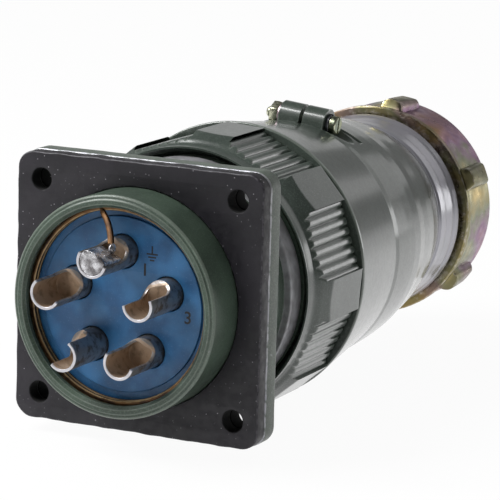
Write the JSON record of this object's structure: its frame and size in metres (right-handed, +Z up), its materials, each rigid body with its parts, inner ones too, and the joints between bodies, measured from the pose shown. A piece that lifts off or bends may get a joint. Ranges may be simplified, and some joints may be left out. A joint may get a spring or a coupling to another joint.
{
  "type": "aviation plug connector",
  "caption": "Mated cable-to-panel circular power connector: square-flange receptacle with solder cups, threaded coupling nut, pinch-clamped backshell and cable gland.",
  "frame": {"origin": "on the connector axis, in the face of the square flange that bears on the gasket and panel", "axes": "+Y along the connector axis from the wiring side of the receptacle towards the cable gland, +Z up through contact 1 and the wide key, +X to the right seen from the wiring side"},
  "size_m": [0.0586, 0.1475, 0.0596],
  "materials": {
    "olive_shell": "olive drab coat, satin",
    "olive_nut": "olive drab coat, satin",
    "olive_backshell": "olive drab coat over a casting, satin",
    "black_rubber": "moulded, matt",
    "red_silicone": "moulded, matt",
    "blue_insulator": "moulded thermoset, satin",
    "grey_insulator": "moulded thermoset, satin",
    "bronze_wire": "phosphor bronze, tarnished",
    "spring_steel": "oiled spring steel",
    "solder": "tin solder, bright",
    "silver_plate": "silver plated brass",
    "yellow_zinc": "yellow chromate zinc plate",
    "purple_zinc": "iridescent chromate zinc plate",
    "plain_zinc": "zinc plate",
    "passivated_gland": "iridescent yellow chromate passivation"
  },
  "bodies": {
    "receptacle": {"receptacle_shell": "olive_shell", "panel_gasket": "black_rubber", "rear_insulator": "blue_insulator", "front_insulator": "blue_insulator", "retaining_ring": "bronze_wire", "pin_contact_1": "silver_plate", "pin_contact_2": "silver_plate", "pin_contact_3": "silver_plate", "pin_contact_4": "silver_plate", "pin_contact_5": "silver_plate", "solder_fill": "solder", "interface_seal": "red_silicone"},
    "plug": {"plug_shell": "olive_shell", "coupling_seal": "black_rubber", "plug_front_insulator": "grey_insulator", "plug_rear_insulator": "grey_insulator", "socket_contact_1": "silver_plate", "socket_contact_2": "silver_plate", "socket_contact_3": "silver_plate", "socket_contact_4": "silver_plate", "socket_contact_5": "silver_plate", "plug_retaining_ring": "spring_steel", "nut_snap_ring": "spring_steel", "backshell": "olive_backshell", "cable_grommet": "black_rubber", "clamp_nut": "yellow_zinc", "flat_washer": "purple_zinc"},
    "coupling_nut": {"coupling_nut": "olive_nut"},
    "slip_washer": {"slip_washer": "plain_zinc"},
    "gland_nut": {"gland_nut": "passivated_gland"},
    "spring_washer": {"spring_washer": "spring_steel"},
    "clamp_screw": {"clamp_screw": "yellow_zinc"}
  },
  "joints": [
    {"name": "plug_travel", "type": "slide", "parent": "receptacle", "child": "plug", "axis": [0, 1, 0], "range_m": [0, 0.014]},
    {"name": "coupling_turn", "type": "hinge", "parent": "plug", "child": "coupling_nut", "pos_m": [0, 0.028, 0], "axis": [0, 1, 0], "range_deg": [0, 2520]},
    {"name": "gland_advance", "type": "slide", "parent": "plug", "child": "slip_washer", "axis": [0, 1, 0], "range_m": [0, 0.006]},
    {"name": "gland_turn", "type": "hinge", "parent": "slip_washer", "child": "gland_nut", "pos_m": [0, 0.118, 0], "axis": [0, 1, 0], "range_deg": [0, 1440]},
    {"name": "clamp_travel", "type": "slide", "parent": "plug", "child": "spring_washer", "axis": [0.9945, 0, -0.1045], "range_m": [0, 0.003]},
    {"name": "clamp_turn", "type": "hinge", "parent": "spring_washer", "child": "clamp_screw", "pos_m": [0.0028, 0.0668, 0.02665], "axis": [0.9945, 0, -0.1045], "range_deg": [0, 2400]}
  ],
  "couplings": [
    {"joint": "coupling_turn", "follows": "plug_travel", "rad_per_m": 3141.6},
    {"joint": "gland_turn", "follows": "gland_advance", "rad_per_m": 4188.8},
    {"joint": "clamp_turn", "follows": "clamp_travel", "rad_per_m": 13963}
  ]
}
